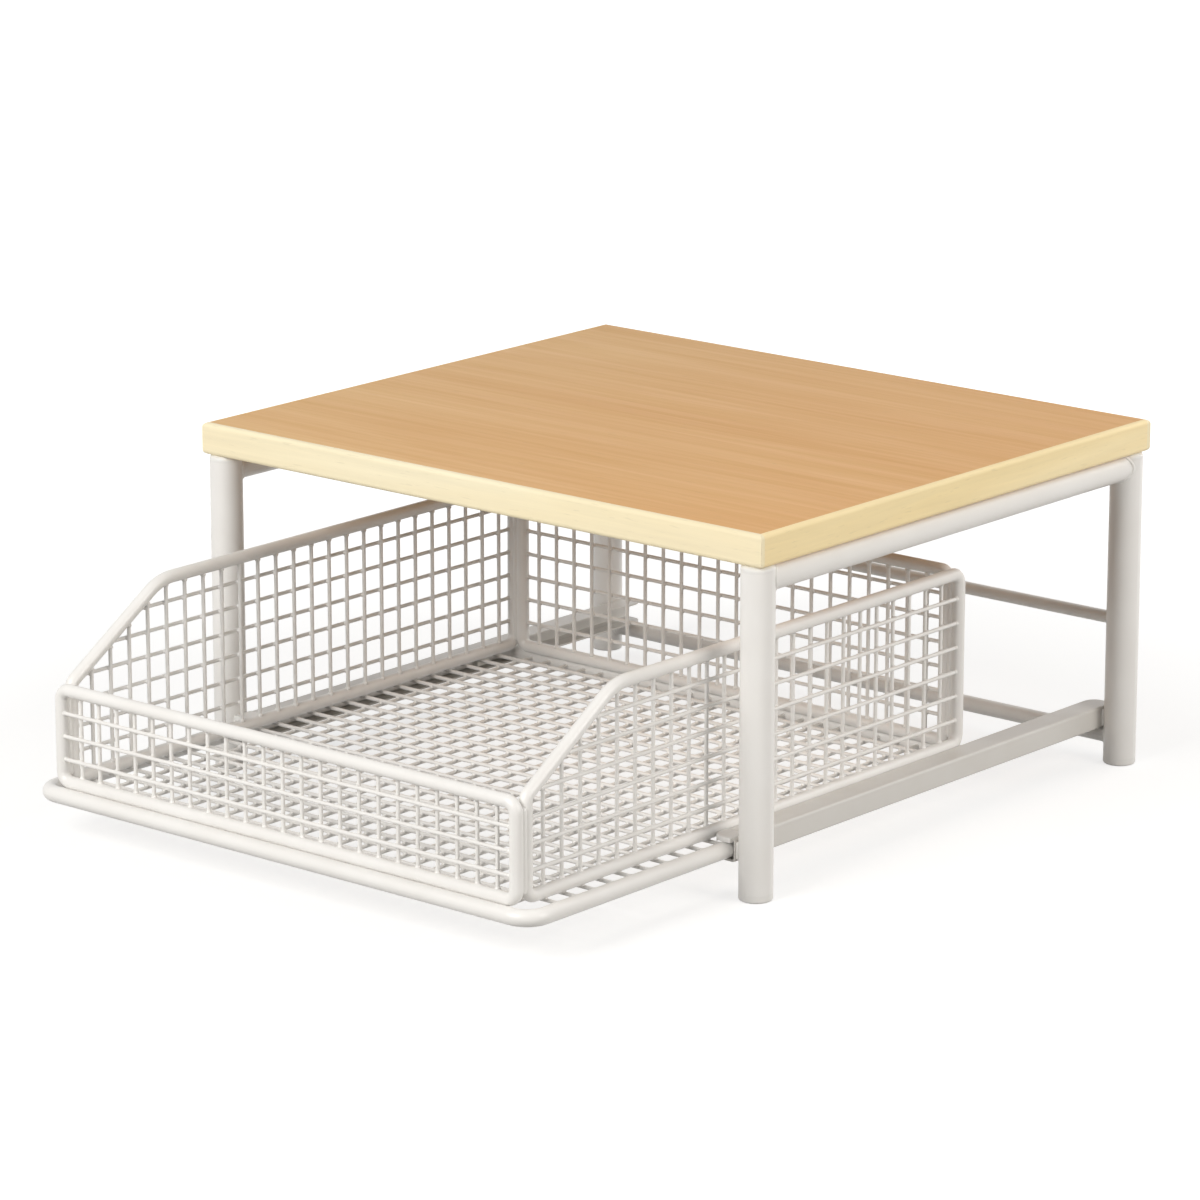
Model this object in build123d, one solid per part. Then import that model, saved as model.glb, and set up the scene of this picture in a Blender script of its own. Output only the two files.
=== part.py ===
"""Microwave stand with a pull-out wire basket drawer, as separate pieces in millimetres.

X is the width, Y the depth (the drawer pulls out towards -Y) and Z is up from the floor. The stand is
drawn about its own centre, and every piece is then shifted so that the origin lies on the floor under
the middle of the whole part, with the drawer pulled out as it rests.
"""
from build123d import *
import os
from math import sqrt

os.makedirs("parts", exist_ok=True)

# ---- Driving dimensions of the stand ----
board_width = 550.0
board_depth = 480.0
board_thickness = 25.0
stand_height = 275.0
edge_band_thickness = 4.0
edge_band_radius = 3.6

leg_diameter = 25.4
leg_wall = 1.2
leg_cap_thickness = 5.0
leg_cap_radius = 3.5
foot_thickness = 6.0
foot_radius = 1.8
spigot_length = 14.0

top_rail_diameter = 22.0
top_rail_wall = 1.2
upper_rear_rail_diameter = 10.0
upper_rear_rail_height = 113.0
lower_rear_rail_diameter = 12.7
rear_rail_wall = 1.0

channel_bottom = 27.0
channel_height = 17.5
channel_width = 20.0
channel_sheet = 1.5
channel_bend_radius = 2.0
channel_nose_radius = 10.0
channel_past_leg = 8.0

guide_length = 18.0
guide_nose = 3.5
guide_skin = 1.2
guide_lip_width = 3.0
guide_lip_drop = 1.8
guide_edge_radius = 1.0

screw_end_distance = 90.0
screw_shank_diameter = 4.8
screw_grip = 16.0
screw_head_diameter = 9.0
screw_head_height = 3.2
screw_access_diameter = 12.0

# ---- Driving dimensions of the drawer ----
loop_diameter = 12.7
loop_wall = 1.0
loop_bend_radius = 16.0

rod_diameter = 10.0
rod_wall = 1.0
rod_bend_radius = 8.0
rear_bend_radius = 6.0
slant_bend_radius = 45.0
wire_diameter = 3.0

basket_depth = 510.0
front_rail_height = 116.0
side_post_height = 118.0
rim_height = 179.0
slant_run = 95.0
wire_spacing_width = 18.3
wire_spacing_depth = 20.0
wire_spacing_height = 19.0

shoe_length = 14.0
shoe_wall = 4.0
shoe_reach = 3.0
shoe_drop = 4.0
shoe_edge_radius = 0.5
shoe_peg_diameter = 4.0
shoe_peg_length = 3.0

# How far the drawer still has to slide back from its place in the photograph.
drawer_pull = 160.0

# ---- Named clearances ----
weld_touch = 0.02
slip_fit = 0.05
slide_gap = 0.4
side_gap = 0.6

# ---- Places worked out from the dimensions ----
leg_radius = leg_diameter / 2
leg_x = board_width / 2 - leg_radius
leg_y = board_depth / 2 - leg_radius
board_underside = stand_height - board_thickness
leg_inner_x = leg_x - leg_radius

channel_outer_x = leg_inner_x - weld_touch
channel_inner_x = channel_outer_x - channel_width
channel_floor = channel_bottom + channel_sheet
channel_top = channel_bottom + channel_height
channel_ceiling = channel_top - channel_sheet
channel_end_y = leg_y + channel_past_leg

loop_radius = loop_diameter / 2
rod_radius = rod_diameter / 2
wire_radius = wire_diameter / 2
loop_x = channel_outer_x - channel_sheet - side_gap - loop_radius
loop_z = channel_floor + slide_gap + loop_radius

# Level floor wires meet the loop at its middle, the cross wires lie on them, the side rods on those.
long_wire_z = loop_z
cross_wire_z = long_wire_z + wire_diameter + weld_touch
rail_z = cross_wire_z + wire_radius + weld_touch + rod_radius

# The front rod is as wide as the basket, and the rear one stands between the two side rods.
side_x = channel_inner_x - side_gap - rod_radius
rear_x = side_x - rod_diameter - weld_touch

# The end rods lean against the loop, which stands just outside them.
rod_to_loop = loop_radius + rod_radius + weld_touch
loop_past_rod = sqrt(rod_to_loop**2 - (rail_z - loop_z) ** 2)

# Closed, the basket stops against the upper rear rail, which is flush with the backs of the legs.
upper_rear_rail_y = board_depth / 2 - upper_rear_rail_diameter / 2
closed_rear_y = upper_rear_rail_y - upper_rear_rail_diameter / 2 - side_gap - rod_radius
basket_rear_y = closed_rear_y - drawer_pull
basket_front_y = basket_rear_y - basket_depth
side_front_y = basket_front_y + rod_diameter + weld_touch
loop_front_y = basket_front_y - loop_past_rod
loop_rear_y = basket_rear_y + loop_past_rod

# The whole part, drawer out, runs from the loop's front to the board's back edge.
part_front_y = loop_front_y - loop_radius
part_rear_y = board_depth / 2
centring = Location((0, -(part_front_y + part_rear_y) / 2, 0))

sides = {"left": -1, "right": 1}
ends = {"front": -1, "rear": 1}


def spaced(start, stop, spacing):
    """Even places between two rods, as near the wanted spacing as the span allows."""
    gaps = max(2, round((stop - start) / spacing))
    step = (stop - start) / gaps
    return [start + step * place for place in range(1, gaps)]


def rod_between(start, stop, radius):
    """A straight round bar from one point to another."""
    run = Vector(*stop) - Vector(*start)
    plane = Plane(origin=start, z_dir=run)
    return extrude(plane * Circle(radius), run.length)


def bent_ring(corners, radii, diameter, wall=None):
    """A round bar or tube bent round a closed flat outline, each corner with its own radius."""
    path = FilletPolyline(*corners, radius=radii, close=True)
    section_plane = Plane(origin=path @ 0, z_dir=path % 0)
    ring = sweep(section_plane * Circle(diameter / 2), path=path)
    if wall:
        ring -= sweep(section_plane * Circle(diameter / 2 - wall), path=path)
    return ring


# ---- Stand ----
def board_pieces():
    """The board's core with its screw holes, and the four rounded bands glued round its edge."""
    core_width = board_width - 2 * edge_band_thickness
    core_depth = board_depth - 2 * edge_band_thickness
    low = (Align.CENTER, Align.CENTER, Align.MIN)
    core = Pos(0, 0, board_underside) * Box(core_width, core_depth, board_thickness, align=low)
    for x, y in screw_places():
        hole = Cylinder(screw_shank_diameter / 2 + slip_fit, screw_grip + slip_fit, align=low)
        core -= Pos(x, y, board_underside) * hole
    pieces = {"tabletop_board": core}
    # All four bands are cut from one rounded blank, so that they meet round the board's corners.
    blank = Pos(0, 0, board_underside) * Box(board_width, board_depth, board_thickness, align=low)
    level_edges = blank.edges().filter_by(Axis.Z, reverse=True)
    blank = fillet(level_edges, edge_band_radius)
    for name, end in ends.items():
        strip = Box(board_width, edge_band_thickness, board_thickness, align=low)
        middle_y = end * (board_depth - edge_band_thickness) / 2
        pieces[f"edge_band_{name}"] = blank & Pos(0, middle_y, board_underside) * strip
    for name, side in sides.items():
        strip = Box(edge_band_thickness, core_depth, board_thickness, align=low)
        middle_x = side * (board_width - edge_band_thickness) / 2
        pieces[f"edge_band_{name}"] = blank & Pos(middle_x, 0, board_underside) * strip
    return pieces


def leg_tube():
    """One open tube between the foot and the cap."""
    length = board_underside - leg_cap_thickness - foot_thickness
    section = Circle(leg_radius) - Circle(leg_radius - leg_wall)
    return Pos(0, 0, foot_thickness) * extrude(section, length)


def plug(thickness, edge_radius):
    """A round plug on the floor plane: a head with a rounded rim and a spigot that goes up the tube."""
    low = (Align.CENTER, Align.CENTER, Align.MIN)
    head = Cylinder(leg_radius, thickness, align=low)
    head = fillet(head.edges().group_by(Axis.Z)[0], edge_radius)
    spigot_radius = leg_radius - leg_wall - slip_fit
    spigot = Cylinder(spigot_radius, spigot_length, align=low)
    spigot = chamfer(spigot.edges().group_by(Axis.Z)[-1], leg_wall)
    return head + Pos(0, 0, thickness) * spigot


def leg_pieces():
    """Four legs, each with a foot below and a rounded cap that carries the board."""
    pieces = {}
    tube = leg_tube()
    foot = plug(foot_thickness, foot_radius)
    cap = Pos(0, 0, board_underside) * Rot(180, 0, 0) * plug(leg_cap_thickness, leg_cap_radius)
    for end_name, end in ends.items():
        for side_name, side in sides.items():
            place = Pos(side * leg_x, end * leg_y, 0)
            corner = f"{end_name}_{side_name}"
            pieces[f"leg_{corner}"] = place * tube
            pieces[f"foot_{corner}"] = place * foot
            pieces[f"leg_cap_{corner}"] = place * cap
    return pieces


def leg_cutter(x, y):
    """The room that a welded rail's mouth leaves for a leg."""
    low = (Align.CENTER, Align.CENTER, Align.MIN)
    return Pos(x, y, 0) * Cylinder(leg_radius + weld_touch, board_underside, align=low)


def tube_between(start, stop, diameter, wall):
    """A straight open tube."""
    return rod_between(start, stop, diameter / 2) - rod_between(start, stop, diameter / 2 - wall)


def screw_places():
    """Where the board is screwed to the top rails."""
    screw_y = board_depth / 2 - screw_end_distance
    return [(side * leg_x, end * screw_y) for side in sides.values() for end in ends.values()]


def top_rail(side):
    """A tube under the board's side edge, its mouths cut to the legs, drilled for the screws."""
    rail_height = board_underside - top_rail_diameter / 2
    x = side * leg_x
    rail = tube_between((x, -leg_y, rail_height), (x, leg_y, rail_height), top_rail_diameter, top_rail_wall)
    for end in ends.values():
        rail -= leg_cutter(x, end * leg_y)
    for screw_x, screw_y in screw_places():
        if screw_x == x:
            shank_hole = Cylinder(screw_shank_diameter / 2 + slip_fit, top_rail_diameter)
            rail -= Pos(x, screw_y, board_underside) * shank_hole
            access = Cylinder(screw_access_diameter / 2, top_rail_diameter)
            rail -= Pos(x, screw_y, board_underside - top_rail_diameter) * access
    return rail


def board_screws():
    """Pan-head screws that go up through each top rail into the board."""
    rail_inside = top_rail_diameter / 2 - top_rail_wall
    head_radius = screw_head_diameter / 2
    # The flat head bears on the curved inside of the tube at its two outer points.
    seat_drop = top_rail_wall + rail_inside - sqrt(rail_inside**2 - head_radius**2) + weld_touch
    low = (Align.CENTER, Align.CENTER, Align.MIN)
    shank = Cylinder(screw_shank_diameter / 2, seat_drop + screw_grip - slip_fit, align=low)
    shank = chamfer(shank.edges().group_by(Axis.Z)[-1], screw_shank_diameter / 4)
    head = Cylinder(head_radius, screw_head_height, align=low)
    head = fillet(head.edges().group_by(Axis.Z)[0], screw_head_height / 3)
    screw = shank + Pos(0, 0, -screw_head_height) * head
    return [Pos(x, y, board_underside - seat_drop) * screw for x, y in screw_places()]


def rear_rail(diameter, y, height):
    """A tube between the rear legs, its mouths cut to them."""
    rail = tube_between((-leg_x, y, height), (leg_x, y, height), diameter, rear_rail_wall)
    for side in sides.values():
        rail -= leg_cutter(side * leg_x, leg_y)
    return rail


def channel_right():
    """A folded C channel welded to the insides of the legs, its mouth turned to the drawer."""
    outer = Rectangle(channel_width, channel_height, align=(Align.MAX, Align.MIN))
    outer = fillet(outer.vertices().group_by(Axis.X)[-1], channel_bend_radius)
    inside_height = channel_height - 2 * channel_sheet
    inner = Rectangle(channel_width, inside_height, align=(Align.MAX, Align.MIN))
    inner_bend = channel_bend_radius - channel_sheet
    inner = fillet(inner.vertices().group_by(Axis.X)[-1], inner_bend)
    section = outer - Pos(-channel_sheet, channel_sheet) * inner
    plane = Plane(origin=(channel_outer_x, channel_end_y, channel_bottom), x_dir=(1, 0, 0), z_dir=(0, -1, 0))
    channel = extrude(plane * section, 2 * channel_end_y)
    flange_corners = channel.edges().filter_by(Axis.Z).group_by(Axis.X)[0]
    return fillet(flange_corners, channel_nose_radius)


def mouth_guide_right(channel):
    """A white plastic guide clipped on the upper flange at the channel's mouth."""
    inside_x = channel_outer_x - channel_sheet - side_gap
    clip_bottom = loop_z + loop_radius + slide_gap
    clip_height = channel_top + guide_skin - clip_bottom
    corner = (channel_inner_x, -channel_end_y - guide_nose)
    low = (Align.MIN, Align.MIN, Align.MIN)
    clip = Pos(*corner, clip_bottom) * Box(inside_x - corner[0], guide_length, clip_height, align=low)
    lip_height = clip_height / 2 + guide_lip_drop
    lip = Box(guide_lip_width, guide_length, lip_height, align=low)
    guide = clip + Pos(*corner, clip_bottom - guide_lip_drop) * lip
    front_corner = guide.edges().filter_by(Axis.Z).group_by(Axis.Y)[0].sort_by(Axis.X)[0:1]
    guide = fillet(front_corner, channel_nose_radius)
    guide = fillet(guide.faces().sort_by(Axis.Z)[-1].outer_wire().edges(), guide_edge_radius)
    return guide - channel


def stand_pieces():
    """Every piece that stays still."""
    pieces = board_pieces() | leg_pieces()
    for name, side in sides.items():
        pieces[f"top_rail_{name}"] = top_rail(side)
    pieces["board_screws"] = board_screws()
    pieces["rear_rail_upper"] = rear_rail(upper_rear_rail_diameter, upper_rear_rail_y, upper_rear_rail_height)
    # The lower rail runs just under the channels and carries their rear ends.
    lower_height = channel_bottom - weld_touch - lower_rear_rail_diameter / 2
    pieces["rear_rail_lower"] = rear_rail(lower_rear_rail_diameter, leg_y, lower_height)
    channel = channel_right()
    guide = mouth_guide_right(channel)
    pieces["channel_right"] = channel
    pieces["channel_left"] = mirror(channel, Plane.YZ)
    pieces["mouth_guide_right"] = guide
    pieces["mouth_guide_left"] = mirror(guide, Plane.YZ)
    return pieces


# ---- Drawer ----
def cross_wire_places():
    """Where the cross wires of the floor and the upright wires of the sides stand."""
    return spaced(side_front_y, basket_rear_y, wire_spacing_depth)


def shoe_place():
    """The shoes sit on the loop between the last two cross wires."""
    return sum(cross_wire_places()[-2:]) / 2


def base_loop():
    """The tube that runs in both channels and round the front and back of the basket."""
    corners = [
        (-loop_x, loop_front_y, loop_z),
        (loop_x, loop_front_y, loop_z),
        (loop_x, loop_rear_y, loop_z),
        (-loop_x, loop_rear_y, loop_z),
    ]
    loop = bent_ring(corners, [loop_bend_radius] * 4, loop_diameter, loop_wall)
    peg_radius = shoe_peg_diameter / 2 + slip_fit
    for side in sides.values():
        inner_wall = (side * (loop_x - loop_diameter), shoe_place(), loop_z)
        loop -= rod_between(inner_wall, (side * loop_x, shoe_place(), loop_z), peg_radius)
    return loop


def slide_shoe_right():
    """A nylon shoe pegged to the loop. It fills the channel's height and meets the guide at full reach."""
    y = shoe_place()
    inner_x = loop_x - loop_radius - shoe_wall
    bottom = loop_z - shoe_drop
    height = channel_ceiling - slide_gap - bottom
    width = loop_x + shoe_reach - inner_x
    low = (Align.MIN, Align.CENTER, Align.MIN)
    shoe = Pos(inner_x, y, bottom) * Box(width, shoe_length, height, align=low)
    shoe = fillet(shoe.edges().filter_by(Axis.X).group_by(Axis.Z)[-1], shoe_edge_radius)
    loop_start = (loop_x, y - shoe_length, loop_z)
    loop_stop = (loop_x, y + shoe_length, loop_z)
    shoe -= rod_between(loop_start, loop_stop, loop_radius + slip_fit)
    peg_start = loop_x - loop_radius - shoe_wall / 2
    peg_end = loop_x - loop_radius + shoe_peg_length
    return shoe + rod_between((peg_start, y, loop_z), (peg_end, y, loop_z), shoe_peg_diameter / 2)


def side_outline(side):
    """The side rod's corners: up the front, up the slant, along the rim and down the back."""
    x = side * side_x
    return [
        (x, side_front_y, rail_z),
        (x, side_front_y, side_post_height),
        (x, side_front_y + slant_run, rim_height),
        (x, basket_rear_y, rim_height),
        (x, basket_rear_y, rail_z),
    ]


def side_radii():
    """One bend radius for each corner of the side rod."""
    return [rod_bend_radius, rod_bend_radius, slant_bend_radius, rod_bend_radius, rod_bend_radius]


def end_outline(x, y, top):
    """The corners of the front or rear rod, an upright rectangle."""
    return [(-x, y, rail_z), (x, y, rail_z), (x, y, top), (-x, y, top)]


def joined(wires, cutter):
    """Straight wires as separate solids, their ends cut to the rods that they are welded to."""
    solids = []
    for wire in wires:
        solids += (wire - cutter).solids()
    return solids


def side_wires(side, frame):
    """The upright and level wires that fill one side, the level ones outside."""
    inner_x = side * (side_x - wire_radius - weld_touch / 2)
    outer_x = side * (side_x + wire_radius + weld_touch / 2)
    slope = (rim_height - side_post_height) / slant_run
    uprights = []
    for y in cross_wire_places():
        top = min(rim_height, side_post_height + slope * (y - side_front_y))
        uprights.append(rod_between((inner_x, y, rail_z), (inner_x, y, top), wire_radius))
    levels = []
    for z in spaced(rail_z, rim_height, wire_spacing_height):
        start_y = side_front_y + max(0, (z - side_post_height) / slope)
        levels.append(rod_between((outer_x, start_y, z), (outer_x, basket_rear_y, z), wire_radius))
    return joined(uprights, frame), joined(levels, frame)


def end_wires(end, post_x, y, top, frame):
    """The upright and level wires that fill the front or the back, the level ones outside."""
    inner_y = y - end * (wire_radius + weld_touch / 2)
    outer_y = y + end * (wire_radius + weld_touch / 2)
    uprights = []
    for x in spaced(-post_x, post_x, wire_spacing_width):
        uprights.append(rod_between((x, inner_y, rail_z), (x, inner_y, top), wire_radius))
    levels = []
    for z in spaced(rail_z, top, wire_spacing_height):
        levels.append(rod_between((-post_x, outer_y, z), (post_x, outer_y, z), wire_radius))
    return joined(uprights, frame), joined(levels, frame)


def floor_wires():
    """The long wires and, on top of them, the cross wires, all ending on the loop."""
    reach = loop_radius + weld_touch
    long_wires = []
    for x in spaced(-side_x, side_x, wire_spacing_width):
        start = (x, loop_front_y, long_wire_z)
        stop = (x, loop_rear_y, long_wire_z)
        long_wires.append(rod_between(start, stop, wire_radius))
    loop_ends = rod_between((-loop_x, loop_front_y, loop_z), (loop_x, loop_front_y, loop_z), reach)
    loop_ends += rod_between((-loop_x, loop_rear_y, loop_z), (loop_x, loop_rear_y, loop_z), reach)
    cross_wires = []
    for y in cross_wire_places():
        cross_wires.append(rod_between((-loop_x, y, cross_wire_z), (loop_x, y, cross_wire_z), wire_radius))
    loop_sides = rod_between((-loop_x, loop_front_y, loop_z), (-loop_x, loop_rear_y, loop_z), reach)
    loop_sides += rod_between((loop_x, loop_front_y, loop_z), (loop_x, loop_rear_y, loop_z), reach)
    return joined(long_wires, loop_ends), joined(cross_wires, loop_sides)


def drawer_pieces():
    """Every piece that slides."""
    shoe = slide_shoe_right()
    pieces = {"base_loop": base_loop(), "slide_shoe_right": shoe, "slide_shoe_left": mirror(shoe, Plane.YZ)}
    pieces["floor_long_wires"], pieces["floor_cross_wires"] = floor_wires()
    for name, side in sides.items():
        frame = bent_ring(side_outline(side), side_radii(), rod_diameter)
        uprights, levels = side_wires(side, frame)
        pieces[f"side_frame_{name}"] = bent_ring(side_outline(side), side_radii(), rod_diameter, rod_wall)
        pieces[f"{name}_upright_wires"] = uprights
        pieces[f"{name}_level_wires"] = levels
    end_frames = {
        "front": (side_x, basket_front_y, front_rail_height, rod_bend_radius),
        "rear": (rear_x, basket_rear_y, rim_height, rear_bend_radius),
    }
    for name, (post_x, y, top, bend_radius) in end_frames.items():
        outline = end_outline(post_x, y, top)
        frame = bent_ring(outline, [bend_radius] * 4, rod_diameter)
        uprights, levels = end_wires(ends[name], post_x, y, top, frame)
        pieces[f"{name}_frame"] = bent_ring(outline, [bend_radius] * 4, rod_diameter, rod_wall)
        pieces[f"{name}_upright_wires"] = uprights
        pieces[f"{name}_level_wires"] = levels
    return pieces


for name, piece in (stand_pieces() | drawer_pieces()).items():
    shape = Compound(children=piece) if isinstance(piece, list) else piece
    export_step(centring * shape, f"parts/{name}.step")
    print(name, len(shape.solids()), "solids", round(shape.volume), "mm3")
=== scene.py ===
# %% [markdown]
# # A microwave stand with a wire drawer
# The solid model gives every tube, wire and board its exact place, in metres, with the drawer pulled out.
# This lesson dresses it: finishes for each surface, the weld beads that a solid model leaves out, and a
# plain studio round it. We load the frame first, because everything else is measured from it.

# %% Load the frame
import math

import bpy
from mathutils import Euler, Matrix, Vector


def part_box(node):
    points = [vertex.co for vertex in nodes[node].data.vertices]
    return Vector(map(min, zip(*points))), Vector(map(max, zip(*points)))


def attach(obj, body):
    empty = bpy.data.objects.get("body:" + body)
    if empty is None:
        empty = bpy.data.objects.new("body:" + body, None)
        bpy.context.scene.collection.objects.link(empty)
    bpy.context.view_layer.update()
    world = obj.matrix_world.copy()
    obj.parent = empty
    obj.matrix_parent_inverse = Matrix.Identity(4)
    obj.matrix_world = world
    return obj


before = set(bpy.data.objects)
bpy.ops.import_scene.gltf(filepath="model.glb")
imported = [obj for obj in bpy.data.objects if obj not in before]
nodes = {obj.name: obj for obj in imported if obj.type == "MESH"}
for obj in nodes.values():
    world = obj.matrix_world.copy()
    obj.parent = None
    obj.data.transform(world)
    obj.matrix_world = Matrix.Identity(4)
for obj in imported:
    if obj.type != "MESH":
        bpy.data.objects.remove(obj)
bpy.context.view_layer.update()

# %% [markdown]
# ## Camera
# The board's edges and the four legs fix where the picture was taken from: a long lens, well back, over the
# front right corner and a little above the board. We place the camera by its bearing and its height angle,
# so that its place and its turn can't disagree.

# %% Camera
camera_bearing = math.radians(40.28)
camera_height_angle = math.radians(14.88)
camera_from_stand = Vector((2.61443, -3.17656, 1.22534))
sensor_width = 36.0
focal_length_in_widths = 4.5717

board_low, board_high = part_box("tabletop_board")
stand_middle = Vector((0, (board_low.y + board_high.y) / 2, 0))
camera_turn = (math.pi / 2 - camera_height_angle, 0, camera_bearing)
bpy.ops.object.camera_add(location=stand_middle + camera_from_stand, rotation=camera_turn)
camera = bpy.context.object
camera.name = "camera"
camera.data.sensor_width = sensor_width
camera.data.lens = sensor_width * focal_length_in_widths
camera.data.clip_end = 60
bpy.context.scene.camera = camera
print("lens:", round(camera.data.lens, 1), "mm")

# %% [markdown]
# ## Node helpers
# A finish is a small network of nodes. Adding each one by hand takes four or five lines, so helpers do it:
# one adds a node and fills or links its sockets, one starts a material with its shader ready, and the others
# make the patterns, blends and bumps that every finish here is built from.


# %% Node helpers
def add_node(tree, kind, sockets=None, **options):
    """Adds a node, sets its options, and fills its sockets with values or links."""
    made = tree.nodes.new(kind)
    for option, value in options.items():
        setattr(made, option, value)
    for socket, value in (sockets or {}).items():
        if isinstance(value, bpy.types.NodeSocket):
            tree.links.new(value, made.inputs[socket])
        else:
            made.inputs[socket].default_value = value
    return made


def start_finish(name, **sockets):
    """A new material. Even values go straight onto the shader's own sockets."""
    finish = bpy.data.materials.new(name)
    finish.use_nodes = True
    shader = finish.node_tree.nodes["Principled BSDF"]
    for socket, value in sockets.items():
        shader.inputs[socket.replace("_", " ")].default_value = value
    return finish, finish.node_tree, shader


def speckle(tree, place, scale, detail=2.0, roughness=0.5, distortion=0.0):
    """A noise pattern's grey value, read at the given place."""
    sockets = {"Vector": place, "Scale": scale, "Detail": detail}
    sockets.update({"Roughness": roughness, "Distortion": distortion})
    return add_node(tree, "ShaderNodeTexNoise", sockets).outputs["Fac"]


def between(tree, value, low, high, low_out, high_out):
    """Carries a grey value from one range to another."""
    sockets = {"Value": value, "From Min": low, "From Max": high, "To Min": low_out, "To Max": high_out}
    return add_node(tree, "ShaderNodeMapRange", sockets).outputs["Result"]


def reckon(tree, way, first, second=0.0, clamp=False):
    """Adds, subtracts or multiplies two grey values, or makes the first one positive."""
    return add_node(tree, "ShaderNodeMath", {0: first, 1: second}, operation=way, use_clamp=clamp).outputs[0]


def blend_colours(tree, share, first, second, way="MIX"):
    """Two colours blended by a share."""
    mix = add_node(tree, "ShaderNodeMix", data_type="RGBA", blend_type=way)
    for socket, value in ((0, share), (6, first), (7, second)):
        if isinstance(value, bpy.types.NodeSocket):
            tree.links.new(value, mix.inputs[socket])
        else:
            mix.inputs[socket].default_value = value
    return mix.outputs[2]


def raise_surface(tree, shader, height, strength, depth):
    """Turns a grey value into small bumps on the shader's normal."""
    sockets = {"Height": height, "Strength": strength, "Distance": depth}
    bump = add_node(tree, "ShaderNodeBump", sockets)
    tree.links.new(bump.outputs["Normal"], shader.inputs["Normal"])


def object_place(tree, scale=(1, 1, 1), turn=(0, 0, 0), shift=(0, 0, 0)):
    """The point on the object, in metres, stretched and turned for a pattern."""
    coordinates = add_node(tree, "ShaderNodeTexCoord").outputs["Object"]
    sockets = {"Vector": coordinates, "Scale": scale, "Rotation": turn, "Location": shift}
    return add_node(tree, "ShaderNodeMapping", sockets).outputs["Vector"]


noise_range = (0.3, 0.7)
print("most of a noise pattern's values lie between", noise_range)

# %% [markdown]
# ## Maple laminate
# The board is chipboard faced with a printed maple sheet, and its edges carry a paler band with the same
# figure. Real maple shows three things at three sizes: broad soft waves of tone, long thin streaks, and short
# pores that catch the light. Each is a noise pattern stretched along the board, because stretched noise runs
# on without a repeat. One recipe serves the face and the bands, with their own tones and directions. Two of
# those tones carry painted shade: the face grows darker and more orange towards its right side, and the short
# side bands are darker and more orange than the long ones.


# %% Maple
laminate_gloss = {"IOR": 1.48, "Specular_IOR_Level": 0.3, "Coat_Weight": 0.04, "Coat_Roughness": 0.3}
warmer_than_deep = (1.05, 0.92, 0.74, 1)
pore_darkening = 0.55
pore_strength = 0.16


def maple(name, pale, deep, along, slope=0.0, painted_shade_right=0.0):
    """Maple print: waves, streaks and pores running along X or Y, with painted shade that makes it darker and
    more orange towards the right.
    """
    finish, tree, shader = start_finish(name, **laminate_gloss)

    # The point is turned to the grain first and stretched after, so that the stretch lies along the grain.
    turned = object_place(tree, turn=(0, 0, math.radians(slope if along == "X" else slope - 90)))

    def stretched(length_scale, cross_scale, shift):
        sockets = {"Vector": turned, "Scale": (length_scale, cross_scale, cross_scale), "Location": (shift,) * 3}
        return add_node(tree, "ShaderNodeMapping", sockets).outputs["Vector"]

    waves = speckle(tree, stretched(1.3, 11, 3.1), 1.0, 4.0, 0.5, 1.4)
    streaks = speckle(tree, stretched(4, 150, 7.7), 1.0, 3.0, 0.6, 0.3)
    fibres = speckle(tree, stretched(30, 1500, 1.9), 1.0, 2.0)
    pores = between(tree, speckle(tree, stretched(70, 700, 5.3), 1.0, 1.0), 0.66, 0.74, 0.0, 1.0)
    patches = speckle(tree, stretched(2.0, 3.0, 9.2), 1.0, 1.0)

    tone = blend_colours(tree, between(tree, waves, 0.34, 0.66, 0.0, 1.0), deep, pale)
    warm_patch_and_shade_tone = tuple(channel * share for channel, share in zip(deep, warmer_than_deep))
    tone = blend_colours(tree, between(tree, patches, 0.35, 0.75, 0.0, 0.3), tone, warm_patch_and_shade_tone)
    # Painted shade: the face grows darker and more orange towards the right, up to the share given.
    rightward = add_node(tree, "ShaderNodeSeparateXYZ", {"Vector": turned}).outputs["X"]
    painted_shade_share = between(tree, rightward, board_low.x, board_high.x, 0.0, painted_shade_right)
    tone = blend_colours(tree, painted_shade_share, tone, warm_patch_and_shade_tone)
    shade = between(tree, streaks, *noise_range, 0.95, 1.03)
    shade = add_node(tree, "ShaderNodeCombineColor", {"Red": shade, "Green": shade, "Blue": shade}).outputs[0]
    tone = blend_colours(tree, 1.0, tone, shade, "MULTIPLY")
    pore_tone = tuple(channel * pore_darkening for channel in deep[:3]) + (1,)
    tone = blend_colours(tree, between(tree, pores, 0, 1, 0, pore_strength), tone, pore_tone)
    tree.links.new(tone, shader.inputs["Base Color"])

    tree.links.new(between(tree, streaks, *noise_range, 0.50, 0.38), shader.inputs["Roughness"])
    raise_surface(tree, shader, reckon(tree, "SUBTRACT", fibres, pores), 0.16, 0.0002)
    return finish


board_face = maple("board_face", (0.79, 0.485, 0.19, 1), (0.70, 0.38, 0.115, 1), "X", painted_shade_right=0.5)
# The bands are one band in two tone sets: the short side bands' darker, more orange tones are painted shade, for
# the sides that the light reaches less.
long_band = maple("long_edge_band", (0.95, 0.88, 0.66, 1), (0.93, 0.825, 0.57, 1), "X", slope=1.5)
short_band_painted_shade = maple("short_edge_band_painted_shade", (0.97, 0.84, 0.53, 1), (0.94, 0.775, 0.44, 1), "Y", slope=3.0)
print("maple finishes:", board_face.name, long_band.name, short_band_painted_shade.name)

# %% [markdown]
# ## White powder coat
# The steel is sprayed with dry powder and baked. Up close the skin is never flat: it keeps a soft ripple, like
# the peel of an orange, about a millimetre across. The tone drifts a little with the coat's thickness, and so
# does the gloss. Three noises give those, and none of them is strong, because the coat is new. Plastic, nylon
# and zinc are built the same way further on, so the first recipe here serves them all.


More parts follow.
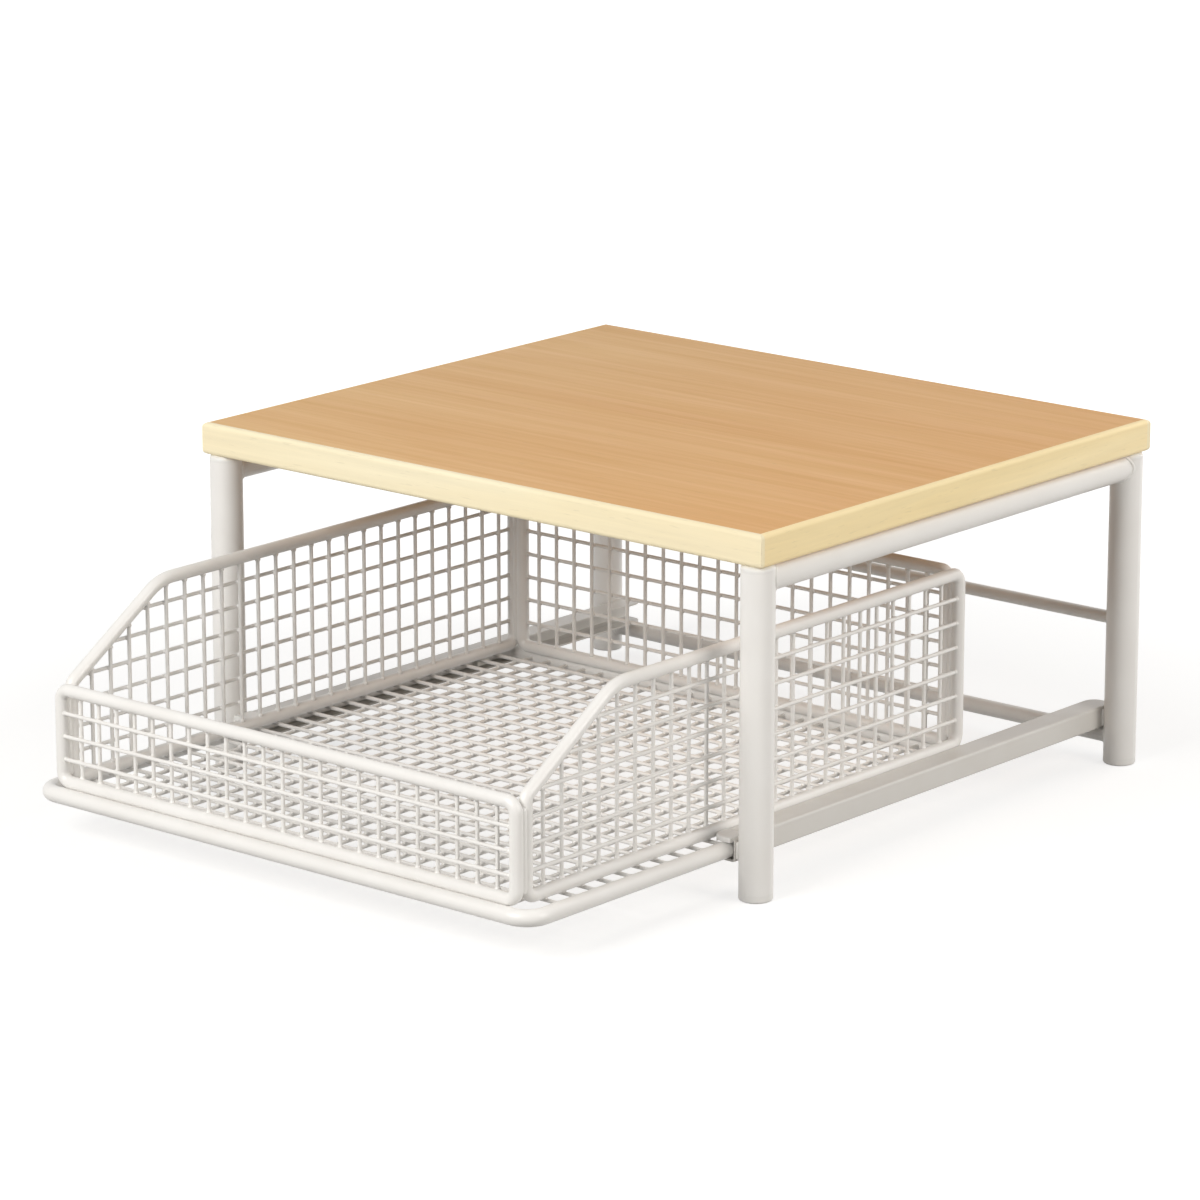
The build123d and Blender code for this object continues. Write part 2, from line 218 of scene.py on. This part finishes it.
# %% A finish that drifts
def drifting_finish(name, first, second, drift, gloss, rough, skin, skin_strength, skin_depth, **sockets):
    """Two tones, a gloss that varies and a fine skin. Each pattern is given as a scale and its detail."""
    finish, tree, shader = start_finish(name, **sockets)
    place = object_place(tree)
    share = between(tree, speckle(tree, place, *drift), *noise_range, 0, 1)
    tree.links.new(blend_colours(tree, share, first, second), shader.inputs["Base Color"])
    roughness = between(tree, speckle(tree, place, *gloss), *noise_range, *rough)
    tree.links.new(roughness, shader.inputs["Roughness"])
    raise_surface(tree, shader, speckle(tree, place, *skin), skin_strength, skin_depth)
    return finish, tree, shader


# %% Powder coat
coat_gloss = {"IOR": 1.5, "Coat_Weight": 0.1, "Coat_Roughness": 0.18}
coat_rough = (0.30, 0.40)
orange_peel = (820.0, 2.0, 0.55)


def powder_coat(name, full, thin):
    """Baked powder coat with orange peel and a slow drift of tone and gloss."""
    patterns = ((22.0, 3.0), (90.0, 2.0), coat_rough, orange_peel, 0.22, 0.00012)
    return drifting_finish(name, full, thin, *patterns, **coat_gloss)


white_coat, *_ = powder_coat("white_powder_coat", (0.865, 0.85, 0.825, 1), (0.835, 0.815, 0.785, 1))
print("coat:", white_coat.name)

# %% [markdown]
# ## The rubbed track in the channels
# The drawer's loop runs on each channel's floor, and rubs a faint grey lane along it. The lane is drawn by
# height and by distance from the middle of the stand, measured from the channel itself, so it lies exactly
# where the tube touches and nowhere else.

# %% Channel finish
channel_low, channel_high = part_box("channel_right")
loop_low, loop_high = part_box("base_loop")
loop_radius = (loop_high.z - loop_low.z) / 2
track_middle = loop_high.x - loop_radius
lane_core, lane_edge = 0.0008, 0.0026
floor_starts, floor_full = channel_low.z + 0.0010, channel_low.z + 0.0013
floor_fades, floor_ends = channel_low.z + 0.0016, channel_low.z + 0.0019
bare_grey = (0.50, 0.49, 0.47, 1)

# The channels' tones are a darker, greyer copy of the white coat: painted shade, for the shade that falls on
# them under the board.
channel_coat_painted_shade, tree, shader = powder_coat("channel_coat_painted_shade", (0.71, 0.69, 0.655, 1), (0.675, 0.65, 0.61, 1))
coat_colour = shader.inputs["Base Color"].links[0].from_socket
split = add_node(tree, "ShaderNodeSeparateXYZ", {"Vector": object_place(tree)})
out_from_middle = reckon(tree, "ABSOLUTE", split.outputs["X"])
off_track = reckon(tree, "ABSOLUTE", reckon(tree, "SUBTRACT", out_from_middle, track_middle))
on_track = between(tree, off_track, lane_core, lane_edge, 1, 0)
above_sheet = between(tree, split.outputs["Z"], floor_starts, floor_full, 0, 1)
on_floor = between(tree, split.outputs["Z"], floor_fades, floor_ends, 1, 0)
scuffs = between(tree, speckle(tree, object_place(tree, (900, 14, 900)), 1.0, 3.0), 0.42, 0.62, 0.05, 0.55)
lane = on_track
for limit in (on_floor, above_sheet, scuffs):
    lane = reckon(tree, "MULTIPLY", lane, limit)
tree.links.new(blend_colours(tree, lane, coat_colour, bare_grey), shader.inputs["Base Color"])
print("track centre:", round(track_middle * 1000, 1), "mm from the middle")

# %% [markdown]
# ## Moulded plastic, nylon and zinc
# The caps, feet and mouth guides are moulded in white plastic, from a mould with a faintly sparked skin. The
# slide shoes are nylon, which lets a little light in and looks waxy. The screws are zinc plated, with a
# faint drift from blue to straw. Each differs from the coat mainly in how it takes the light.

# %% Small finishes
tones = ((0.84, 0.825, 0.80, 1), (0.81, 0.795, 0.765, 1))
patterns = ((40.0, 2.0), (160.0, 2.0), (0.38, 0.48), (3500.0, 2.0), 0.12, 0.00006)
glow_in = {"Subsurface_Weight": 0.04, "Subsurface_Radius": (0.004, 0.003, 0.002)}
white_plastic, *_ = drifting_finish("white_plastic", *tones, *patterns, IOR=1.46, **glow_in)

tones = ((0.84, 0.83, 0.78, 1), (0.79, 0.77, 0.70, 1))
patterns = ((55.0, 3.0), (220.0, 2.0), (0.30, 0.42), (1400.0, 2.0), 0.1, 0.00008)
glow_in = {"Subsurface_Weight": 0.18, "Subsurface_Radius": (0.005, 0.004, 0.003)}
nylon, *_ = drifting_finish("nylon", *tones, *patterns, IOR=1.53, **glow_in)

tones = ((0.66, 0.68, 0.72, 1), (0.74, 0.72, 0.62, 1))
patterns = ((120.0, 3.0, 0.6, 0.8), (400.0, 2.0), (0.24, 0.40), (2200.0, 2.0), 0.15, 0.00005)
zinc, *_ = drifting_finish("zinc_plate", *tones, *patterns, Metallic=1.0)
print("small finishes:", white_plastic.name, nylon.name, zinc.name)

# %% [markdown]
# ## Finishes on the solid pieces
# Every solid piece keeps its shape and takes its finish by its name. Whatever isn't named here is steel, so
# the coat is the rule and the rest are the exceptions.

# %% Dress the solid pieces
finish_for = {
    "tabletop_board": board_face,
    "edge_band_front": long_band,
    "edge_band_rear": long_band,
    "edge_band_left": short_band_painted_shade,
    "edge_band_right": short_band_painted_shade,
    "channel_left": channel_coat_painted_shade,
    "channel_right": channel_coat_painted_shade,
    "board_screws": zinc,
}
finish_for_start = {
    "leg_cap": white_plastic,
    "foot": white_plastic,
    "mouth_guide": white_plastic,
    "slide_shoe": nylon,
}

for name, solid in nodes.items():
    finish = finish_for.get(name, white_coat)
    for start, other in finish_for_start.items():
        if name.startswith(start):
            finish = other
    for holder in solid.material_slots:
        holder.material = finish
print("dressed:", len(nodes), "solid pieces")

# %% [markdown]
# ## Weld nubs on the basket
# A wire basket is spot welded: two wires are pressed together and fused, and the coat then fills the corners.
# So the openings of a real basket have round corners, never sharp ones. We model one nub, a ball pressed flat
# where the wires meet, and let the Array modifier lay it out in rows, because the wires are evenly spaced.

# %% Measure the basket
front_low, front_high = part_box("front_frame")
_, rear_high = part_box("rear_frame")
side_low, side_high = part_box("side_frame_right")
cross_low, cross_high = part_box("floor_cross_wires")
long_low, long_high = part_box("floor_long_wires")

rod_radius = (front_high.y - front_low.y) / 2
wire_radius = (cross_high.z - cross_low.z) / 2
front_post_x = front_high.x - rod_radius
rear_post_x = rear_high.x - rod_radius
side_rod_x = side_high.x - rod_radius
basket_front_y = front_low.y + rod_radius
side_front_y = side_low.y + rod_radius
basket_rear_y = rear_high.y - rod_radius
bottom_rod_z = front_low.z + rod_radius
front_top_z = front_high.z - rod_radius
rim_z = rear_high.z - rod_radius
cross_wire_z = (cross_low.z + cross_high.z) / 2
front_wires = 23
rear_wires = 22
wires_deep = 24
rows_high = 6
front_rows = 3
front_step = 2 * front_post_x / (front_wires + 1)
rear_step = 2 * rear_post_x / (rear_wires + 1)
step_deep = (basket_rear_y - side_front_y) / (wires_deep + 1)
step_high = (rim_z - bottom_rod_z) / (rows_high + 1)
front_step_high = (front_top_z - bottom_rod_z) / (front_rows + 1)
steps = (front_step, rear_step, step_deep, step_high, front_step_high)
print("wire steps:", [round(step * 1000, 2) for step in steps], "mm")

# %% One weld nub
nub_radius = 0.0023
nub_press = 0.85

bpy.ops.object.select_all(action="DESELECT")
bpy.ops.mesh.primitive_uv_sphere_add(segments=8, ring_count=6, radius=nub_radius, location=(0, 0, 0))
nub = bpy.context.object
nub.name = "nub_pattern"
bpy.ops.object.mode_set(mode="EDIT")
bpy.ops.mesh.select_all(action="SELECT")
bpy.ops.transform.resize(value=(1.0, 1.0, nub_press))
bpy.ops.object.mode_set(mode="OBJECT")
bpy.ops.object.shade_smooth()
print("nub:", len(nub.data.polygons), "faces")


# %% Copies, rows and whole pieces
def only(piece):
    """Selects one piece and nothing else."""
    bpy.ops.object.select_all(action="DESELECT")
    piece.select_set(True)
    bpy.context.view_layer.objects.active = piece


def placed(pattern, place, turn=(0, 0, 0)):
    """A copy of a pattern, put in place with its own mesh."""
    copy = pattern.copy()
    copy.data = pattern.data.copy()
    bpy.context.scene.collection.objects.link(copy)
    only(copy)
    copy.location = place
    copy.rotation_euler = turn
    bpy.ops.object.transform_apply(location=True, rotation=True, scale=True)
    return copy


def nub_rows(start, *steps):
    """Nubs from a starting point. Each step is a count and the way to the next one."""
    row = placed(nub, start)
    for count, way in steps:
        array = row.modifiers.new("row", "ARRAY")
        array.count = count
        array.use_relative_offset = False
        array.use_constant_offset = True
        array.constant_offset_displace = way
        bpy.ops.object.modifier_apply(modifier=array.name)
    return row


def one_piece(parts, name, body):
    """Joins coated steel parts into one named piece that rides on a body."""
    only(parts[0])
    for part in parts:
        part.select_set(True)
    bpy.ops.object.join()
    piece = bpy.context.object
    piece.name = name
    piece.data.name = name
    piece.data.materials.clear()
    piece.data.materials.append(white_coat)
    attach(piece, body)
    print(name, len(piece.data.polygons), "faces")


# %% Nubs on the front and back
front_across, front_up = (front_wires, (front_step, 0, 0)), (front_rows, (0, 0, front_step_high))
rear_across, rear_up = (rear_wires, (rear_step, 0, 0)), (rows_high, (0, 0, step_high))
front_panel = ("front", -1, front_post_x, basket_front_y, front_top_z, front_across, front_up)
rear_panel = ("rear", 1, rear_post_x, basket_rear_y, rim_z, rear_across, rear_up)
for name, end, post_x, y, top_z, across, up in (front_panel, rear_panel):
    step_x, step_z = across[1][0], up[1][2]
    first_x = -post_x + step_x
    upright_y = y - end * wire_radius
    level_y = y + end * wire_radius
    parts = [nub_rows((first_x, y, bottom_rod_z + step_z), across, up)]
    for z in (bottom_rod_z + rod_radius, top_z - rod_radius):
        parts.append(nub_rows((first_x, upright_y, z), across))
    for side in (-1, 1):
        rod_face_x = side * (post_x - rod_radius)
        parts.append(nub_rows((rod_face_x, level_y, bottom_rod_z + step_z), up))
    one_piece(parts, f"weld_nubs_{name}", "drawer")

# %% [markdown]
# The sides have a slanted front, so each level wire starts further back the higher it lies. The side rod
# bends twice: at the top of the front post, and at the rim. Between the two bends it is a straight slope, and
# from its rise we work out which crossings are still inside the frame.

# %% Nubs on the sides
side_post_height = 0.118
slant_run = 0.095
slope = (rim_z - side_post_height) / slant_run
lean = math.sqrt(1 + slope * slope)
wires_under_slant = int(slant_run // step_deep)


def slant_y(z):
    """Where the slanted rod's centre stands at a height."""
    return side_front_y + max(0.0, (z - side_post_height) / slope)


for name, side in (("left", -1), ("right", 1)):
    x = side * side_rod_x
    inner_x = x - side * wire_radius
    outer_x = x + side * wire_radius
    parts = []
    for row in range(rows_high):
        z = bottom_rod_z + step_high * (row + 1)
        rod_face_y = slant_y(z) + rod_radius * (lean / slope if z > side_post_height else 1)
        first = math.ceil((rod_face_y - side_front_y) / step_deep)
        start = (x, side_front_y + step_deep * first, z)
        parts.append(nub_rows(start, (wires_deep + 1 - first, (0, step_deep, 0))))
        parts.append(nub_rows((outer_x, rod_face_y, z)))
        parts.append(nub_rows((outer_x, basket_rear_y - rod_radius, z)))
    foot = (inner_x, side_front_y + step_deep, bottom_rod_z + rod_radius)
    parts.append(nub_rows(foot, (wires_deep, (0, step_deep, 0))))
    slant_start_z = side_post_height + slope * step_deep - rod_radius * lean
    slant_way = (0, step_deep, slope * step_deep)
    parts.append(nub_rows((inner_x, side_front_y + step_deep, slant_start_z), (wires_under_slant, slant_way)))
    rim_start = (inner_x, side_front_y + step_deep * (wires_under_slant + 1), rim_z - rod_radius)
    parts.append(nub_rows(rim_start, (wires_deep - wires_under_slant, (0, step_deep, 0))))
    one_piece(parts, f"weld_nubs_{name}", "drawer")

# %% [markdown]
# On the floor the cross wires lie on the long wires, and both end on the loop. The side rods stand on the
# cross wires, and are fused to each one.

# %% Nubs on the floor
crossing_z = cross_wire_z - wire_radius
grid_start = (-front_post_x + front_step, side_front_y + step_deep, crossing_z)
across = (front_wires, (front_step, 0, 0))
deep = (wires_deep, (0, step_deep, 0))
parts = [nub_rows(grid_start, across, deep)]
for end_y in (long_low.y, long_high.y):
    parts.append(nub_rows((grid_start[0], end_y, (long_low.z + long_high.z) / 2), across))
for side in (-1, 1):
    parts.append(nub_rows((side * cross_high.x, grid_start[1], cross_wire_z), deep))
    parts.append(nub_rows((side * side_rod_x, grid_start[1], cross_wire_z + wire_radius), deep))
one_piece(parts, "weld_nubs_floor", "drawer")

bpy.data.objects.remove(nub)

# %% [markdown]
# ## Weld beads on the stand
# Each rail's mouth is cut to the round of its leg, and a bead of weld runs all round the joint. That line is a
# saddle, which is awkward to draw but easy to wrap: we lay a flat ring in front of the leg, let Shrinkwrap
# push it onto a round post of the leg's size, and give the line a round section.

# %% Saddle beads
leg_low, leg_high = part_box("leg_front_right")
leg_radius = (leg_high.x - leg_low.x) / 2
leg_x = leg_high.x - leg_radius
leg_middle_y = {end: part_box(f"leg_{end}_right")[0].y + leg_radius for end in ("front", "rear")}
board_back_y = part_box("edge_band_rear")[1].y
bead_radius = 0.0014
post_length = 0.6


def trim(piece, point, outward):
    """Cuts off what lies beyond a flat plane and closes the cut."""
    only(piece)
    bpy.ops.object.mode_set(mode="EDIT")
    bpy.ops.mesh.select_all(action="SELECT")
    bpy.ops.mesh.bisect(plane_co=point, plane_no=outward, clear_outer=True, use_fill=True)
    bpy.ops.object.mode_set(mode="OBJECT")


def saddle_bead(leg_place, ring_place, ring_radius, along):
    """A bead where a rail along X or Y meets a leg: a ring wrapped onto the leg and thickened."""
    bpy.ops.object.select_all(action="DESELECT")
    bpy.ops.mesh.primitive_cylinder_add(vertices=128, radius=leg_radius, depth=post_length, location=leg_place)
    post = bpy.context.object
    turn = (math.pi / 2, 0, 0) if along == "Y" else (0, math.pi / 2, 0)
    bpy.ops.mesh.primitive_circle_add(vertices=64, radius=ring_radius, location=ring_place, rotation=turn)
    ring = bpy.context.object
    bpy.ops.object.transform_apply(location=True, rotation=True, scale=True)
    wrap = ring.modifiers.new("wrap", "SHRINKWRAP")
    wrap.target = post
    wrap.wrap_method = "PROJECT"
    wrap.use_project_x = along == "X"
    wrap.use_project_y = along == "Y"
    wrap.use_project_z = False
    wrap.use_negative_direction = True
    wrap.use_positive_direction = True
    bpy.ops.object.modifier_apply(modifier=wrap.name)
    bpy.ops.object.convert(target="CURVE")
    bead = bpy.context.object
    bead.data.bevel_depth = bead_radius
    bead.data.bevel_resolution = 2
    bpy.ops.object.convert(target="MESH")
    bead = bpy.context.object
    bpy.ops.object.shade_smooth()
    bpy.data.objects.remove(post)
    return bead


# %% Beads on the top rails
rail_low, rail_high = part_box("top_rail_right")
top_rail_radius = (rail_high.z - rail_low.z) / 2
top_rail_z = rail_high.z - top_rail_radius
stand_off = leg_radius + 0.004
below_board = board_low.z - 0.0002

parts = []
for side in (-1, 1):
    for end, sign in (("front", 1), ("rear", -1)):
        leg_place = (side * leg_x, leg_middle_y[end], 0)
        ring_place = (side * leg_x, leg_middle_y[end] + sign * stand_off, top_rail_z)
        bead = saddle_bead(leg_place, ring_place, top_rail_radius, "Y")
        trim(bead, (0, 0, below_board), (0, 0, 1))
        parts.append(bead)
one_piece(parts, "weld_beads_top_rails", "stand")

# %% Beads on the rear rails
bead_bite = 0.0002
inside_back = board_back_y - 0.0001

parts = []
for rail in ("rear_rail_upper", "rear_rail_lower"):
    rail_low, rail_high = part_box(rail)
    rail_radius = (rail_high.z - rail_low.z) / 2
    rail_y = (rail_low.y + rail_high.y) / 2
    for side in (-1, 1):
        leg_place = (side * leg_x, leg_middle_y["rear"], 0)
        ring_place = (side * (leg_x - stand_off), rail_y, (rail_low.z + rail_high.z) / 2)
        bead = saddle_bead(leg_place, ring_place, rail_radius - bead_bite, "X")
        trim(bead, (0, inside_back, 0), (0, 1, 0))
        parts.append(bead)
one_piece(parts, "weld_beads_rear_rails", "stand")

# %% [markdown]
# The channels lie flat against the round legs, so the joint is a narrow nook on each side of the line where
# they touch. A short run of weld fills each nook. It is a thin bar with rounded ends, modelled once and copied.

# %% One straight bead
def straight_bead(length, radius):
    """An upright bar with rounded ends, as a pattern at the origin."""
    bpy.ops.object.select_all(action="DESELECT")
    bpy.ops.mesh.primitive_cylinder_add(vertices=16, radius=radius, depth=length, location=(0, 0, 0))
    bead = bpy.context.object
    bpy.ops.object.mode_set(mode="EDIT")
    bpy.ops.mesh.select_all(action="DESELECT")
    bpy.ops.mesh.select_mode(type="EDGE")
    bpy.ops.object.mode_set(mode="OBJECT")
    for edge in bead.data.edges:
        first_z, second_z = (bead.data.vertices[corner].co.z for corner in edge.vertices)
        edge.select = first_z == second_z
    bpy.ops.object.mode_set(mode="EDIT")
    bpy.ops.mesh.bevel(offset=radius * 0.8, segments=3)
    bpy.ops.object.mode_set(mode="OBJECT")
    bpy.ops.object.shade_smooth()
    print("straight bead:", round(length * 1000, 1), "mm,", len(bead.data.polygons), "faces")
    return bead


# %% Straight beads at the channels
leg_nook = 0.0062
nook_depth = 0.0009
rail_nook = 0.0042
bead_shorter = 0.004
channel_bead = straight_bead(channel_high.z - channel_low.z - bead_shorter, bead_radius)
channel_middle_x = (channel_low.x + channel_high.x) / 2
channel_middle_z = (channel_low.z + channel_high.z) / 2
lower_low, lower_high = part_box("rear_rail_lower")
lower_rail_y = (lower_low.y + lower_high.y) / 2

parts = []
for side in (-1, 1):
    for leg_y in leg_middle_y.values():
        for nook in (-leg_nook, leg_nook):
            place = (side * (channel_high.x + nook_depth), leg_y + nook, channel_middle_z)
            parts.append(placed(channel_bead, place))
    for nook in (-rail_nook, rail_nook):
        place = (side * channel_middle_x, lower_rail_y + nook, channel_low.z - nook_depth)
        parts.append(placed(channel_bead, place, (0, math.pi / 2, 0)))
one_piece(parts, "weld_beads_channels", "stand")
bpy.data.objects.remove(channel_bead)

# %% [markdown]
# At the basket's corners the end rods stand against the side rods. The nooks between them are filled nearly
# from top to bottom, so that each pair of rods reads as one broad post. The front pair lies front to back, and
# the rear pair side by side. A bead fits both: a long bar, set between the two round rods and nearly flush.

# %% Straight beads at the basket's corners
corner_bead_radius = 0.0029
corner_nook = 0.0019
end_clearance = 0.004
front_bead = straight_bead(front_top_z - bottom_rod_z - 2 * end_clearance, corner_bead_radius)
rear_bead = straight_bead(rim_z - bottom_rod_z - 2 * end_clearance, corner_bead_radius)
front_nook_y = (basket_front_y + side_front_y) / 2
rear_nook_x = (rear_post_x + side_rod_x) / 2

parts = []
for side in (-1, 1):
    for nook in (-corner_nook, corner_nook):
        front_place = (side * side_rod_x + nook, front_nook_y, (bottom_rod_z + front_top_z) / 2)
        rear_place = (side * rear_nook_x, basket_rear_y + nook, (bottom_rod_z + rim_z) / 2)
        parts.append(placed(front_bead, front_place))
        parts.append(placed(rear_bead, rear_place))
one_piece(parts, "weld_beads_basket_corners", "drawer")
for pattern in (front_bead, rear_bead):
    bpy.data.objects.remove(pattern)

# %% [markdown]
# ## Floor and backdrop
# The stand is shown on white, as in a catalogue. The floor is a plain pale sheet that takes the stand's
# shadow. A share of plain white is added for the camera and for reflections only, so the floor looks white
# without throwing more light on the stand. The share grows away from the stand, where the lamps reach less,
# so the sheet runs into the white behind it without an edge. The world is white in the same way.


# %% What only the camera and reflections see
def seen_directly(tree):
    """One where a ray comes from the camera or from a reflection, nought where it only brings light."""
    rays = add_node(tree, "ShaderNodeLightPath").outputs
    camera_or_gloss = reckon(tree, "ADD", rays["Is Camera Ray"], rays["Is Glossy Ray"])
    return reckon(tree, "ADD", camera_or_gloss, rays["Is Transmission Ray"], clamp=True)


# %% Floor and backdrop
floor_width = 40
near_glow = 0.70
far_glow = 1.0
glow_starts = 0.5
glow_full = 1.2

bpy.ops.object.select_all(action="DESELECT")
bpy.ops.mesh.primitive_plane_add(size=floor_width, location=(0, 0, 0))
floor = bpy.context.object
floor.name = "studio_floor"

floor_paint, tree, shader = start_finish("floor_paint", Roughness=0.9, Specular_IOR_Level=0.1)
floor_place = object_place(tree)
paper = speckle(tree, floor_place, 3.0, 3.0)
paper = blend_colours(tree, paper, (0.39, 0.385, 0.375, 1), (0.41, 0.405, 0.395, 1))
tree.links.new(paper, shader.inputs["Base Color"])
from_stand = add_node(tree, "ShaderNodeVectorMath", {0: floor_place}, operation="LENGTH").outputs["Value"]
glow_share = between(tree, from_stand, glow_starts, glow_full, near_glow, far_glow)
glow_strength = reckon(tree, "MULTIPLY", seen_directly(tree), glow_share)
glow = add_node(tree, "ShaderNodeEmission", {"Color": (1, 1, 1, 1), "Strength": glow_strength})
both = add_node(tree, "ShaderNodeAddShader")
tree.links.new(shader.outputs[0], both.inputs[0])
tree.links.new(glow.outputs[0], both.inputs[1])
tree.links.new(both.outputs[0], tree.nodes["Material Output"].inputs["Surface"])
floor.data.materials.append(floor_paint)

# %% World
room_light = 0.24

world = bpy.data.worlds.new("studio")
bpy.context.scene.world = world
world.use_nodes = True
tree = world.node_tree
sky = tree.nodes["Background"]
tree.links.new(between(tree, seen_directly(tree), 0, 1, room_light, 1.0), sky.inputs["Strength"])
sky.inputs["Color"].default_value = (1.0, 1.0, 1.0, 1)
print("floor and world ready")

# %% [markdown]
# ## Lights
# Three large soft boxes. The key stands ahead and a little left, so the board's front edge is the brightest
# face. The fill stands on the right and a little behind, which leaves the left half of each round leg in a soft
# shade, and a weak light lifts the back. A lamp's power grows with the square of its distance, so we set each
# by the share of a plain exposure it should give, and a colour then renders about as it is written.


# %% Lights
lamps_aim_at = Vector((0, 0, 0.14))


def soft_box(name, bearing, height_angle, distance, size, share, colour=(1, 1, 1)):
    """A square soft light aimed at the middle of the stand. The share is its part of a plain exposure."""
    turn = Euler((math.pi / 2 - math.radians(height_angle), 0, math.radians(bearing)))
    back = turn.to_matrix() @ Vector((0, 0, 1))
    bpy.ops.object.light_add(type="AREA", location=lamps_aim_at + back * distance, rotation=turn)
    lamp = bpy.context.object
    lamp.name = name
    lamp.data.shape = "SQUARE"
    lamp.data.size = size
    lamp.data.energy = share * (math.pi * distance) ** 2
    lamp.data.color = colour


soft_box("key_light", -5, 30, 2.8, 1.5, 0.77, (1.0, 0.985, 0.96))
soft_box("fill_light", 101, 23, 3.2, 1.8, 0.47, (1.0, 0.965, 0.92))
soft_box("back_light", 165, 20, 3.2, 2.0, 0.24)

# %% [markdown]
# Last, the colours are shown as they are written, with the Standard view. The dressed model must stay
# inside the solid model's box.

# %% Finish
bpy.context.scene.view_settings.view_transform = "Standard"
